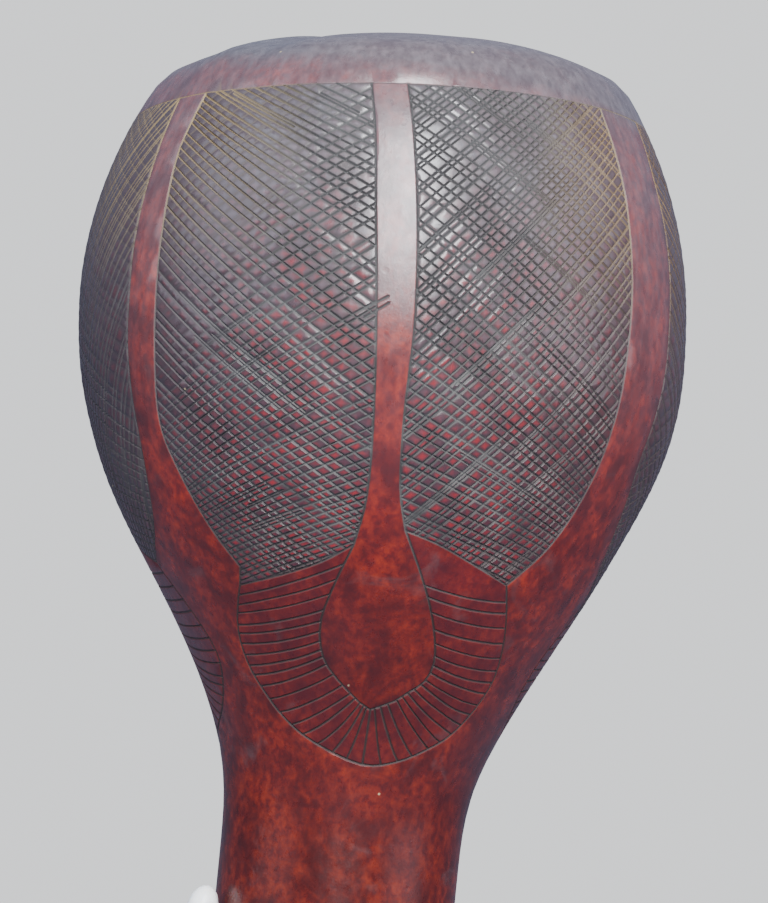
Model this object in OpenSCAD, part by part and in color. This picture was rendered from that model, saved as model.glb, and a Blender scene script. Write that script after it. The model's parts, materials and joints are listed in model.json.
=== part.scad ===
// Engraved bottle-gourd rattle. A hollow dried gourd, whose own neck is the handle, holds loose
// seeds behind a turned wooden stopper. A tie cord with white oval beads is wound round the neck.
// Frame: origin at the centre of the stopper's flat end, +Z up along the handle, and the head
// leans towards -X. Millimetres.

/* [Head] */
// Diameter of the head at its widest ring
head_d = 120; // [110:1:135]
// Height of the crown above the widest ring
crown_h = 55.4; // [50:0.1:60]
// Vertical half axis of the belly's ellipse, above the widest ring
belly_rise = 73.3; // [68:0.1:85]
// Radius of the nearly flat dome that closes the crown
crown_r = 128; // [100:1:250]
// Sharpness of the turn from the belly into the crown
crown_edge = 28; // [10:1:40]
// Lean of the head's axis from the handle's axis, in degrees
head_lean = 5.4; // [0:0.1:8]

/* [Neck and handle] */
// Height of the widest ring above the stopper's flat end
equator_z = 238; // [230:1:260]
// Length of the throat, from the widest ring down to the waist
throat_h = 112.1; // [100:0.1:118]
// How early the throat narrows: 1 is even, less is earlier
throat_bias = 0.97; // [0.9:0.01:1.1]
// Diameter of the neck at the waist
waist_d = 47.4; // [46:0.1:50]
// Diameter of the handle where it is cut off
handle_end_d = 38; // [37.5:0.1:44]
// Thickness of the dried rind
wall = 3.5; // [2.5:0.1:3.6]

/* [Stopper] */
// Thickness of the stopper's visible flange
flange_h = 4; // [3:0.1:8]
// Length of the stopper's spigot inside the neck
spigot_l = 14; // [8:1:25]

/* [Seeds] */
// Diameter of one loose seed
seed_d = 5; // [4:0.1:5.2]
// Distance between neighbouring seed lanes
lane_pitch = 5.8; // [5.6:0.1:6]

/* [Tie cord] */
// Diameter of the twisted cord
cord_d = 2.4; // [2:0.1:2.6]
// Number of turns round the neck
cord_turns = 3; // [2:1:4]
// Height of the middle turn above the stopper's flat end
wrap_z = 106; // [100:1:108]
// Direction of the knot that carries the beads, in degrees from +X
knot_angle = 203; // [180:1:215]
// Direction of the knot that carries the hanging loop, in degrees from +X
loop_angle = 90; // [60:1:120]
// Length of the hanging loop
loop_l = 84; // [50:1:90]
// Lengths of the two bead strands, short one first
strand_l = [34, 48];

/* [Beads] */
// Diameter of a bead across its middle
bead_d = 6; // [5.6:0.1:6.6]
// Length of a bead
bead_l = 10.3; // [8:0.1:12]
// Lean of the upright bead's top towards the neck, in degrees
bead_lean = 13; // [8:1:16]

/* [Hidden] */
$fn = 48;

head_r = head_d / 2;
waist_r = waist_d / 2;
end_r = handle_end_d / 2;
waist_z = equator_z - throat_h;
bend_low = waist_z;
bend_high = equator_z + 15;
glue_gap = 0.1;
cut_z = flange_h + glue_gap;

facets = 40;
low_steps = 22;
high_steps = 15;
inner_low_steps = 14;
inner_high_steps = 10;

spigot_gap = 0.35;
flange_round = 1.5;
plug_top = flange_h + spigot_l;
seed_gap = 0.05;
seed_z = plug_top + seed_d / 2 + seed_gap;

wrap_gap = 0.2;
turn_pitch = cord_d + 0.1;
knot_d = 7.4;
knot_w = 7;
eye_gap = 0.2;
wrap_r = outer_r(wrap_z) + wrap_gap + cord_d / 2;
knot_bite = 0.7;
knot_r = wrap_r + cord_d / 2 + knot_d / 2 - knot_bite;
strand_gap = 0.3;
strand_y = knot_w / 2 + cord_d / 2 + strand_gap;
end_knot_d = 4.6;
bead_bore = cord_d + 0.5;
bead_gap = 0.4;
bead_lift = 4.65;
bead_up_r = outer_r(waist_z) + bead_d / 2 + bead_gap;
bead_up_z = wrap_z + knot_d / 2 + bead_l / 2 + bead_lift;
socket_l = 4;
socket_gap = 0.2;
tail_up_l = 4.3;
rest_gap = 0.1;

// Shape functions -------------------------------------------------------------------------

function clamp01(t) = min(max(t, 0), 1);
function smooth(t) = t * t * (3 - 2 * t);
function smoother(t) = t * t * t * (10 - 15 * t + 6 * t * t);

// Radius of the gourd's outside, u above or below the widest ring
function belly(u) = head_r * sqrt(1 - pow(u / belly_rise, 2));
function dome(u) = sqrt(pow(crown_r, 2) - pow(crown_r - (crown_h - u), 2));
function upper(u) = pow(pow(belly(u), -crown_edge) + pow(dome(u), -crown_edge), -1 / crown_edge);
function throat(u) = waist_r
    + (head_r - waist_r) * (1 - smoother(clamp01(pow(-u / throat_h, throat_bias))));
function handle(u) = waist_r - (waist_r - end_r) * smooth(clamp01((-u - throat_h) / waist_z));
function outer_r(z) = let (u = z - equator_z)
    u > 0 ? upper(u) : u > -throat_h ? throat(u) : handle(u);

// Radius of the hollow, one rind thickness inside
function inner_r(z) = let (u = z - equator_z)
    u > 0 ? upper(u * crown_h / (crown_h - wall)) * (head_r - wall) / head_r : outer_r(z) - wall;

// Centre line: straight in the handle, then bent smoothly into the leaning head
function bend_t(z) = clamp01((z - bend_low) / (bend_high - bend_low));
function tilt(z) = atan(tan(head_lean) * smooth(bend_t(z)));
function centre_x(z) = let (t = bend_t(z))
    -tan(head_lean) * ((bend_high - bend_low) * (pow(t, 3) - pow(t, 4) / 2)
        + max(z - bend_high, 0));

function ring(z, r) = [for (j = [0 : facets - 1])
    let (a = 360 * j / facets, across = r * cos(a))
    [centre_x(z) + across * cos(tilt(z)), r * sin(a), z + across * sin(tilt(z))]];

// Heights of the rings: even up to the widest ring, closer together towards the crown
function heights(top, low_n, high_n) = concat(
    [for (i = [0 : low_n]) cut_z + (equator_z - cut_z) * i / low_n],
    [for (i = [1 : high_n - 1]) equator_z + top * sin(90 * i / high_n)]);

function joined(lists) = [for (one = lists) for (item = one) item];

// Two triangles for each quad between ring i and ring i + 1 of a stack that starts at point first
function band(first, rings, outward) = [
    for (i = [0 : rings - 2]) for (j = [0 : facets - 1]) for (half = [0, 1])
        let (a = first + i * facets + j, b = first + i * facets + (j + 1) % facets)
        let (face = half == 0 ? [a, a + facets, b + facets] : [a, b + facets, b])
        outward ? face : [face[2], face[1], face[0]]];

function cap(first, pole, outward) = [for (j = [0 : facets - 1])
    let (a = first + j, b = first + (j + 1) % facets)
    outward ? [a, pole, b] : [b, pole, a]];

function rim(outside, inside) = [for (j = [0 : facets - 1]) for (half = [0, 1])
    let (k = (j + 1) % facets)
    half == 0 ? [outside + j, outside + k, inside + k] : [outside + j, inside + k, inside + j]];

// The 19 seed lanes: a centre lane and two six-sided rings of lanes round it
lanes = [for (row = [-2 : 2]) for (step = [-2 : 2]) if (abs(row + step) <= 2)
    lane_pitch * [step + row / 2, row * sin(60)]];

// Gourd -----------------------------------------------------------------------------------

module gourd_shell() {
    out_z = heights(crown_h, low_steps, high_steps);
    in_z = heights(crown_h - wall, inner_low_steps, inner_high_steps);
    out_n = len(out_z);
    in_n = len(in_z);
    in_first = out_n * facets;
    poles = in_first + in_n * facets;
    top_z = equator_z + crown_h;
    points = concat(
        joined([for (z = out_z) ring(z, outer_r(z))]),
        joined([for (z = in_z) ring(z, inner_r(z))]),
        [[centre_x(top_z), 0, top_z], [centre_x(top_z - wall), 0, top_z - wall]]);
    faces = concat(
        band(0, out_n, true),
        cap((out_n - 1) * facets, poles, true),
        band(in_first, in_n, false),
        cap(in_first + (in_n - 1) * facets, poles + 1, false),
        rim(0, in_first));
    color("#7a2b20") polyhedron(points = points, faces = faces, convexity = 6);
}

// Turned stopper: a flange that covers the cut end and a spigot that is glued into the neck
module end_plug() {
    spigot_r = end_r - wall - spigot_gap;
    chamfer = 1;
    color("#6b4a2c") rotate_extrude() polygon(concat(
        [[0, 0]],
        [for (a = [-90 : 15 : 0])
            [end_r - flange_round + flange_round * cos(a), flange_round + flange_round * sin(a)]],
        [[end_r, flange_h], [spigot_r, flange_h], [spigot_r, plug_top - chamfer],
         [spigot_r - chamfer, plug_top], [0, plug_top]]));
}

module seed(lane) {
    color("#3b2a1c") translate([lanes[lane].x, lanes[lane].y, seed_z]) sphere(d = seed_d);
}

// Tie cord --------------------------------------------------------------------------------

module at_side(angle, out, z) {
    rotate([0, 0, angle]) translate([out, 0, z]) children();
}

module cord_wrap() {
    for (turn = [0 : cord_turns - 1]) {
        z = wrap_z + (turn - (cord_turns - 1) / 2) * turn_pitch;
        color("#e6dfcf") translate([0, 0, z]) rotate_extrude()
            translate([outer_r(z) + wrap_gap + cord_d / 2, 0]) circle(d = cord_d);
    }
}

// A barrel-shaped knot on the turns, with an eye along the neck's tangent
module knot(angle) {
    color("#ddd4c0") difference() {
        at_side(angle, knot_r, wrap_z) rotate([90, 0, 0])
            cylinder(h = knot_w, d = knot_d, center = true);
        at_side(angle, knot_r, wrap_z) rotate([90, 0, 0])
            cylinder(h = 2 * knot_w, d = cord_d + 2 * eye_gap, center = true);
        cylinder(h = 4 * wrap_z, r = wrap_r + cord_d / 2 + wrap_gap, center = true);
    }
}

module cord_knot() { knot(knot_angle); }
module loop_knot() { knot(loop_angle); }

// The cord's end that stands up from the knot and is glued into the upright bead
module tail_up() {
    color("#e6dfcf") at_side(knot_angle, bead_up_r, bead_up_z) rotate([0, -bead_lean, 0])
        translate([0, 0, -bead_l / 2 - tail_up_l])
            cylinder(h = tail_up_l + socket_l - socket_gap, d = cord_d);
}

// Oval bead, centred, its length along Z
module bead_body() {
    rotate_extrude() polygon([for (a = [-90 : 9 : 90]) [bead_d / 2 * cos(a), bead_l / 2 * sin(a)]]);
}

module bead_up() {
    color("#f2eee4") at_side(knot_angle, bead_up_r, bead_up_z) rotate([0, -bead_lean, 0])
        difference() {
            bead_body();
            translate([0, 0, -bead_l / 2 - 1]) cylinder(h = socket_l + 1, d = cord_d + socket_gap);
        }
}

// One cord run through a knot's eye, with its two strands hanging down
module strand_pair(lengths) {
    rotate([90, 0, 0]) cylinder(h = 2 * strand_y, d = cord_d, center = true);
    for (side = [0, 1]) {
        translate([0, (2 * side - 1) * strand_y, 0]) {
            sphere(d = cord_d);
            translate([0, 0, -lengths[side]]) cylinder(h = lengths[side], d = cord_d);
        }
    }
}

module tail_down() {
    color("#e6dfcf") at_side(knot_angle, knot_r, wrap_z) union() {
        strand_pair(strand_l);
        for (side = [0, 1])
            translate([0, (2 * side - 1) * strand_y, -strand_l[side]]) sphere(d = end_knot_d);
    }
}

module strand_bead(side) {
    rest = wrap_z - strand_l[side] + end_knot_d / 2 + bead_l / 2 + rest_gap;
    color("#f2eee4") at_side(knot_angle, knot_r, rest)
        translate([0, (2 * side - 1) * strand_y, 0]) difference() {
            bead_body();
            cylinder(h = 2 * bead_l, d = bead_bore, center = true);
        }
}

module bead_short() { strand_bead(0); }
module bead_long() { strand_bead(1); }

module hang_loop() {
    straight = loop_l - strand_y;
    color("#e6dfcf") at_side(loop_angle, knot_r, wrap_z) union() {
        strand_pair([straight, straight]);
        translate([0, 0, -straight]) rotate([0, 90, 0]) rotate([0, 0, -90])
            rotate_extrude(angle = 180) translate([strand_y, 0]) circle(d = cord_d);
    }
}

gourd_shell();
end_plug();
seed(0);  // seed_01
seed(1);  // seed_02
seed(2);  // seed_03
seed(3);  // seed_04
seed(4);  // seed_05
seed(5);  // seed_06
seed(6);  // seed_07
seed(7);  // seed_08
seed(8);  // seed_09
seed(9);  // seed_10
seed(10);  // seed_11
seed(11);  // seed_12
seed(12);  // seed_13
seed(13);  // seed_14
seed(14);  // seed_15
seed(15);  // seed_16
seed(16);  // seed_17
seed(17);  // seed_18
seed(18);  // seed_19
cord_wrap();
cord_knot();
tail_up();
bead_up();
tail_down();
bead_short();
bead_long();
loop_knot();
hang_loop();
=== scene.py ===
"""Looks of the engraved gourd rattle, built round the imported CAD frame.

The gourd is one mesh. Its engraved band is triangulated in a flat chart of the surface, so that
every cut line is a real V-shaped groove. Lengths inside the builders are millimetres; MM turns
them into the frame's metres. Angles round the gourd are counted from -Y towards +X.
"""

import json
import math
import random

import bmesh
import bpy
import numpy as np
from mathutils import Matrix, Vector
from mathutils.geometry import delaunay_2d_cdt


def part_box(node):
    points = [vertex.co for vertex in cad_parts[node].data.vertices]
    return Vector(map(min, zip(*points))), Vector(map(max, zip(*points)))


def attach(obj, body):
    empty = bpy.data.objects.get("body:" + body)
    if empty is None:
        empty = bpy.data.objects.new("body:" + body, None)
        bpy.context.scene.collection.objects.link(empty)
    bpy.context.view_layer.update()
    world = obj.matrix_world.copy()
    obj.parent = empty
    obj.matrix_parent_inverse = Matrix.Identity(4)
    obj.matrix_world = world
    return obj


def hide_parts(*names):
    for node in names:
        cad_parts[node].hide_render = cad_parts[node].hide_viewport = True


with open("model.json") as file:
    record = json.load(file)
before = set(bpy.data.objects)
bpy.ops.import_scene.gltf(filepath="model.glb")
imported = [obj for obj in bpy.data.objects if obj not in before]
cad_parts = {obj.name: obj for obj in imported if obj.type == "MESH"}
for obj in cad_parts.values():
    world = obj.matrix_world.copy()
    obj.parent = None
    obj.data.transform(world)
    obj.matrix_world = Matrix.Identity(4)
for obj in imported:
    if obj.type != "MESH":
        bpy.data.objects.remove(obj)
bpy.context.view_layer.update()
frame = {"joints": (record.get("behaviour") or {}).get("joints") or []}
MM = 0.001


def box_mm(node):
    low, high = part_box(node)
    return np.array(low) / MM, np.array(high) / MM


def joint_mm(name):
    joint = next(j for j in frame["joints"] if j["name"] == name)
    return np.array(joint["pos_m"]) / MM


# ---------------- driving dimensions, millimetres

# The gourd, with the CAD shell's own values; heights are from its widest ring
GOURD_LOW, GOURD_HIGH = box_mm("gourd_shell")
PLUG_LOW, PLUG_HIGH = box_mm("end_plug")
HEAD_R = (GOURD_HIGH[1] - GOURD_LOW[1]) / 2
END_R = (PLUG_HIGH[0] - PLUG_LOW[0]) / 2
CUT_Z = GOURD_LOW[2]
CROWN_H = 55.4
CROWN_TILT_RISE = 0.526
EQUATOR_Z = GOURD_HIGH[2] - CROWN_H - CROWN_TILT_RISE
BELLY_RISE = 73.3
CROWN_R = 128.0
CROWN_EDGE = 28.0
THROAT_H = 112.1
THROAT_BIAS = 0.97
WAIST_R = 23.7
WALL = 3.5
LEAN = math.tan(math.radians(5.4))
BEND_LOW = -THROAT_H
BEND_HIGH = 15.0

# Engraving: half width and depth of a cut; arc length up the profile at the engraved band's ends
# and at the ring groove under the crown
GROOVE_HALF = 0.32
GROOVE_DEPTH = 0.25
BAND_LOW = -100.0
BAND_HIGH = 43.0
RING_S = 39.0
RING_HALF = 0.2

# A motif is two hatched panels either side of a plain strip that ends in a spade. Its sector runs
# from edge to edge down the plain strips between motifs: middle, left edge, right edge in degrees,
# and how far the design is spread round the gourd. Edges lie on whole columns of the plain grid
COLUMN = 3.0
MOTIFS = [(2.2, -49.0, 59.0, 1.0), (122.9, 59.0, 188.0, 1.207), (248.8, 188.0, 311.0, 1.207)]


# ---------------- gourd surface

def smooth01(t):
    t = np.clip(t, 0, 1)
    return t * t * (3 - 2 * t)


def profile(u):
    """Radius of the gourd at u above its widest ring, the same rule as the CAD shell's."""
    u = np.asarray(u, float)
    high = np.clip(u, 0, CROWN_H - 1e-6)
    belly = HEAD_R * np.sqrt(1 - (high / BELLY_RISE) ** 2)
    dome = np.sqrt(CROWN_R ** 2 - (CROWN_R - (CROWN_H - high)) ** 2)
    upper = (belly ** -CROWN_EDGE + dome ** -CROWN_EDGE) ** (-1 / CROWN_EDGE)
    t = np.clip((np.maximum(-u, 0) / THROAT_H) ** THROAT_BIAS, 0, 1)
    throat = WAIST_R + (HEAD_R - WAIST_R) * (1 - t ** 3 * (10 - 15 * t + 6 * t * t))
    handle = WAIST_R - (WAIST_R - END_R) * smooth01((-u - THROAT_H) / (EQUATOR_Z - THROAT_H))
    return np.where(u > 0, upper, np.where(u > -THROAT_H, throat, handle))


def bend(u):
    """Sideways place and tilt of the centre line at u."""
    span = BEND_HIGH - BEND_LOW
    t = np.clip((u - BEND_LOW) / span, 0, 1)
    x = -LEAN * (span * (t ** 3 - t ** 4 / 2) + np.maximum(u - BEND_HIGH, 0))
    return x, np.arctan(LEAN * smooth01(t))


# Lumps on the crown's edge: direction in degrees, height in millimetres, half width in degrees
CROWN_LUMPS = [(-43, 0.75, 7), (-31, -0.5, 6), (43, 0.45, 13), (85, 0.45, 18), (128, 0.4, 14),
               (165, -0.4, 12), (-125, 0.5, 12)]

# The other uneven growth, millimetres, and the radius round the pole within which it fades out
CROWN_SINK = 1.05
BELLY_PINCH = 0.6
THROAT_PINCH = 0.65
NECK_PINCH = 0.3
HEAD_WAVE = 0.12
NECK_KNOBS = 0.14
POLE_R = 32


def hump(x, middle, width):
    return np.exp(-((x - middle) / width) ** 2)


def swell(phi, u):
    """Uneven growth, measured along the normal: a sunken side of the crown, a slimmer belly and
    throat, lumps on the crown's edge, a slow wave round the head."""
    side = np.sin(phi)
    off_axis = np.sin(math.pi / 2 * np.clip(profile(u) / POLE_R, 0, 1))
    crown = -CROWN_SINK * smooth01((u - 2) / 45) * (0.5 - 0.5 * off_axis * np.sin(phi - 0.3))
    belly = -BELLY_PINCH * hump(u, -31 - 9 * side, 14)
    throat = -(THROAT_PINCH + 0.25 * side) * hump(u, -91, 13)
    turn = np.degrees(phi)
    lumps = sum(height * hump((turn - at + 180) % 360, 180, width)
                for at, height, width in CROWN_LUMPS)
    lumps = lumps * smooth01((u - 34) / 14) * smooth01((CROWN_H - u) / 3)
    wave = HEAD_WAVE * off_axis * np.cos(3 * phi - 1.1 + u / 45) * smooth01((u + 90) / 60)
    grip = (1 - smooth01((u + 125) / 25)) * smooth01((u + 215) / 40)
    neck = -NECK_PINCH * (1 - side) * grip
    knobs = NECK_KNOBS * np.cos(2 * phi + u / 17) * (1 - smooth01((u + 100) / 30))
    return crown + belly + throat + lumps + wave + neck + knobs


def surface(phi, u, depth=0.0, wall=0.0):
    """Points on the gourd in the frame's axes; depth and wall go inwards along the normal."""
    phi, u = np.broadcast_arrays(np.asarray(phi, float), np.asarray(u, float))
    step = 0.05
    slope = (profile(u + step) - profile(u - step)) / (2 * step)
    size = np.sqrt(1 + slope ** 2)
    inwards = depth + wall - swell(phi, u)
    radius = profile(u) - inwards / size
    along = inwards * slope / size
    x, tilt = bend(u)
    angle = phi - math.pi / 2
    across = radius * np.cos(angle)
    return np.stack([
        x + across * np.cos(tilt) - along * np.sin(tilt),
        radius * np.sin(angle),
        EQUATOR_Z + u + across * np.sin(tilt) + along * np.cos(tilt)], -1)


# Arc length s along the profile, zero at the widest ring, against height u
PROFILE_U = np.linspace(CUT_Z - EQUATOR_Z, CROWN_H, 8000)
PROFILE_S = np.concatenate(
    [[0], np.cumsum(np.hypot(np.diff(PROFILE_U), np.diff(profile(PROFILE_U))))])
PROFILE_S -= np.interp(0, PROFILE_U, PROFILE_S)
S_TOP = PROFILE_S[-1]
S_CUT = PROFILE_S[0]


def u_at(s):
    return np.interp(s, PROFILE_S, PROFILE_U)


# ---------------- engraving, in the chart
# Chart coordinates, millimetres: x = arc length round the gourd from the strip, s = arc length up
# the profile. Outlines of the strip and the panels' outer edges run from the top down

STRIP_LEFT = [(-5.2, 39.0), (-4.3, 28.0), (-3.9, 14.0), (-3.3, -4.0), (-2.9, -24.0),
              (-3.1, -40.0), (-4.7, -50.0)]
STRIP_RIGHT = [(1.6, 39.0), (2.7, 29.0), (3.7, 12.0), (3.7, -6.0), (2.7, -24.0),
               (3.0, -38.0), (4.6, -46.4)]
OUTER_LEFT = [(-40.3, 39.0), (-43.6, 32.0), (-46.4, 24.0), (-48.6, 7.0), (-49.3, -12.0),
              (-48.2, -26.0), (-42.5, -36.5), (-34.0, -48.2), (-26.9, -56.0)]
OUTER_RIGHT = [(44.2, 39.0), (47.0, 31.0), (49.8, 19.0), (51.0, 4.0), (50.3, -8.0),
               (48.4, -20.0), (44.2, -33.0), (36.5, -45.5), (26.2, -55.4)]
BASE_LEFT = [(-26.9, -56.0), (-26.8, -60.0)]
FOOT_LEFT = [(-26.8, -60.0), (-18.0, -57.3), (-10.5, -54.0), (-4.7, -50.0)]
FOOT_RIGHT = [(26.2, -55.4), (18.5, -52.0), (11.0, -48.6), (4.6, -46.4)]

# Frill: pairs of points that face each other, outer line and spade edge, left top to right top,
# and the spacing of the cuts along the outer line there
FRILL = [
    ((-26.8, -60.0), (-4.7, -50.0), 2.3), ((-27.1, -64.7), (-7.6, -58.1), 2.2),
    ((-26.8, -70.0), (-9.5, -66.0), 2.2), ((-24.3, -76.4), (-9.0, -71.9), 2.4),
    ((-20.2, -82.0), (-7.2, -76.0), 2.9), ((-14.7, -87.6), (-3.2, -80.3), 3.3),
    ((-8.5, -91.6), (-0.6, -82.6), 3.3), ((1.0, -94.9), (1.6, -83.9), 3.3),
    ((7.6, -93.9), (3.2, -83.2), 3.3), ((14.0, -90.8), (6.2, -81.6), 3.2),
    ((19.5, -87.0), (8.6, -79.6), 3.0), ((24.5, -81.0), (11.6, -76.9), 2.8),
    ((27.6, -75.0), (12.9, -73.0), 2.7), ((28.2, -69.2), (12.4, -68.0), 2.7),
    ((27.7, -63.2), (10.6, -61.5), 2.8), ((26.6, -57.6), (8.3, -55.3), 2.8),
    ((26.2, -55.4), (4.6, -46.4), 2.8)]
SPADE_TIP = 7
FRINGE = [outer for outer, _, _ in FRILL]
SPADE_LEFT = [inner for _, inner, _ in FRILL[:SPADE_TIP + 1]]
SPADE_RIGHT = [inner for _, inner, _ in FRILL[SPADE_TIP:]]
FRILL_SAG = 0.9

# Hatching: panel, direction and bow of its lines, then knots of height at the panel's middle,
# angle in degrees and upright spacing there. The bow is the rise BOW_REACH away from the middle
BOW_REACH = 12
PANEL_HALF = 30.0
LEFT_MIDDLE, RIGHT_MIDDLE = -26.0, 27.0
HATCH = [
    ("left", -1, 0.30, [(62, 31, 1.9), (32, 33, 1.95), (14, 37, 2.2), (-26, 37, 2.15),
                        (-38, 34, 1.75), (-90, 30, 1.5)]),
    ("left", 1, 0.0, [(62, 34, 2.6), (14, 32, 2.5), (-26, 32, 2.05), (-38, 27, 1.9),
                      (-50, 24, 1.35), (-90, 24, 1.3)]),
    ("right", 1, 0.0, [(95, 40, 1.8), (14, 45, 1.95), (-26, 44, 2.1), (-38, 42, 1.9),
                       (-50, 40, 1.65), (-95, 40, 1.6)]),
    ("right", -1, 0.20, [(62, 33, 1.6), (38, 34, 1.8), (14, 34, 2.3), (-16, 34, 2.3),
                         (-28, 30, 2.1), (-38, 23, 1.9), (-50, 18, 1.5), (-90, 16, 1.45)])]

# Hatch directions that fade out in their panel's upper outer corner: motif, panel, direction
FAINT_HATCH = {(0, "left", 1), (1, "left", 1), (2, "left", 1), (2, "right", -1)}

# Spacing of the cuts on the motifs round the back, times the front motif's
REAR_SPACING = 1.3

# Hatch directions cut steeper than on the front motif, in degrees
STEEPER = {(2, "right", 1): 17}

# Cells between the cuts are slightly domed: share of a cut's depth below which a point is in a
# cell, smallest area, width and rise of a full dome, all in millimetres
FLAT_SHARE = 0.02
SMALLEST_CELL = 0.12
WIDE_CELL = 1.7
CELL_RISE = 0.085

# Distance from a strip's edge grooves to the line of points that keeps their shading apart
FLANK = 0.3

# The ring groove under the crown: share of full depth, points round a sector
RING_SHARE = 0.5
RING_POINTS = 40
EDGE_ROWS = 40

# Points over the plain parts: distance apart, and how far they stay from edges, cuts and ring
GRID = 3.0
GRID_LEFT, GRID_RIGHT = -54, 60
CLEAR_OF_EDGE = 1.2
CLEAR_OF_CUT = 2.2
CLEAR_OF_RING = 1.8

# A hatch line has more points than this inside its panel, the given share of the lines is cut
# twice over a stretch, and a cut keeps one point each so many millimetres
FEWEST_POINTS = 14
CUT_TWICE = 0.10
CUT_STEP = 7.0

# Two slips of the knife over the strip's left edge, on the front motif only
SLIPS = [[(-5.6, -5.4), (-3.4, -4.2), (-1.2, -2.9)], [(-5.4, -6.9), (-3.3, -5.6), (-1.0, -4.1)]]


def with_ends(points):
    """The points with one more at each end, in line with the last two there."""
    p = np.asarray(points, float)
    return np.concatenate([[2 * p[0] - p[1]], p, [2 * p[-1] - p[-2]]])


def spline(p, i, t):
    """Points at share t of the way from p[i] to p[i + 1], on a Catmull-Rom curve through p."""
    a, b, c, d = p[i - 1], p[i], p[i + 1], p[i + 2]
    return 0.5 * (2 * b + (c - a) * t + (2 * a - 5 * b + 4 * c - d) * t ** 2
                  + (3 * b - a - 3 * c + d) * t ** 3)


def smooth_curve(points, step=2.5):
    """Points about a step apart on the curve through the given ones."""
    p = with_ends(points)
    out = []
    for i in range(1, len(p) - 2):
        count = max(1, round(np.linalg.norm(p[i + 1] - p[i]) / step))
        out.append(spline(p, i, (np.arange(count) / count)[:, None]))
    return np.concatenate(out + [p[-2:-1]])


def inside(points, polygon):
    """Even-odd test of points (n, 2) against a closed polygon."""
    x, y = points[:, 0:1], points[:, 1:2]
    ax, ay = polygon[:, 0], polygon[:, 1]
    bx, by = np.roll(ax, -1), np.roll(ay, -1)
    rise = np.where(by == ay, 1e-12, by - ay)
    crosses = ((ay > y) != (by > y)) & (x < ax + (y - ay) * (bx - ax) / rise)
    return crosses.sum(1) % 2 == 1


def wander(rng, count, size):
    """A slow, hand-like sideways drift along a line of count points."""
    t = np.linspace(0, 1, count)
    drift = sum(rng.uniform(-1, 1) / k * np.sin(math.pi * k * t + rng.uniform(0, 6.3))
                for k in (1, 2, 3, 5))
    return size * drift


def hatch_lines(rng, panel, middle, sign, bow, knots, spacing, steeper):
    """Clipped lines of one hatch direction; each is an array of chart points."""
    heights, angles, pitches = zip(*reversed(knots))
    x = middle + np.linspace(-PANEL_HALF, PANEL_HALF, 301)
    lines = []
    height = knots[0][0]
    while height > knots[-1][0]:
        angle = math.radians(np.interp(height, heights, angles) + steeper + rng.gauss(0, 0.7))
        s = height + sign * math.tan(angle) * (x - middle)
        s = s + bow * ((x - middle) / BOW_REACH) ** 2 + wander(rng, len(x), 0.16)
        line = np.stack([x, s], 1)
        kept = np.flatnonzero(inside(line, panel))
        if len(kept) > FEWEST_POINTS:
            line = line[kept[0]:kept[-1] + 1]
            lines.append(line)
            if rng.random() < CUT_TWICE:
                start = rng.uniform(0, 0.5)
                end = start + rng.uniform(0.2, 0.5)
                piece = line[int(start * len(line)):int(end * len(line))]
                if len(piece) > FEWEST_POINTS:
                    lines.append(piece + [0, rng.choice([-1, 1]) * rng.uniform(0.55, 0.8)])
        height -= spacing * np.interp(height, heights, pitches) * rng.uniform(0.78, 1.22)
    return lines


def thin(line, step):
    """The same line with points about a step apart."""
    count = max(1, round(np.linalg.norm(np.diff(line, axis=0), axis=1).sum() / step))
    keep = np.round(np.linspace(0, len(line) - 1, count + 1)).astype(int)
    return line[keep]


def facing(points, places):
    """Points on the smooth curve at places counted in given points, 0 at the first one."""
    i = np.clip(places.astype(int), 0, len(points) - 2)
    return spline(with_ends(points), i + 1, (places - i)[:, None])


def frill_lines(rng):
    """Short sagging cuts from the fringe to the spade's edge."""
    places = np.linspace(0, len(FRILL) - 1, 50 * (len(FRILL) - 1) + 1)
    outer = facing(FRINGE, places)
    pitch = np.interp(places, range(len(FRILL)), [spacing for _, _, spacing in FRILL])
    inner = np.concatenate([
        facing(SPADE_LEFT, places[places < SPADE_TIP]),
        facing(SPADE_RIGHT, places[places >= SPADE_TIP] - SPADE_TIP)])
    gaps = np.linalg.norm(np.diff(outer, axis=0), axis=1) / pitch[1:]
    count = np.concatenate([[0], np.cumsum(gaps)])
    lines = []
    place = 1.0
    while place < count[-1] - 0.4:
        at = int(np.searchsorted(count, place))
        t = np.linspace(0, 1, 7)[:, None]
        line = outer[at] * (1 - t) + inner[at] * t
        line = line - np.array([0, FRILL_SAG]) * 4 * t * (1 - t)
        line[:, 1] += wander(rng, 7, 0.12)
        lines.append(line)
        place += rng.uniform(0.84, 1.16)
    return lines


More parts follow.
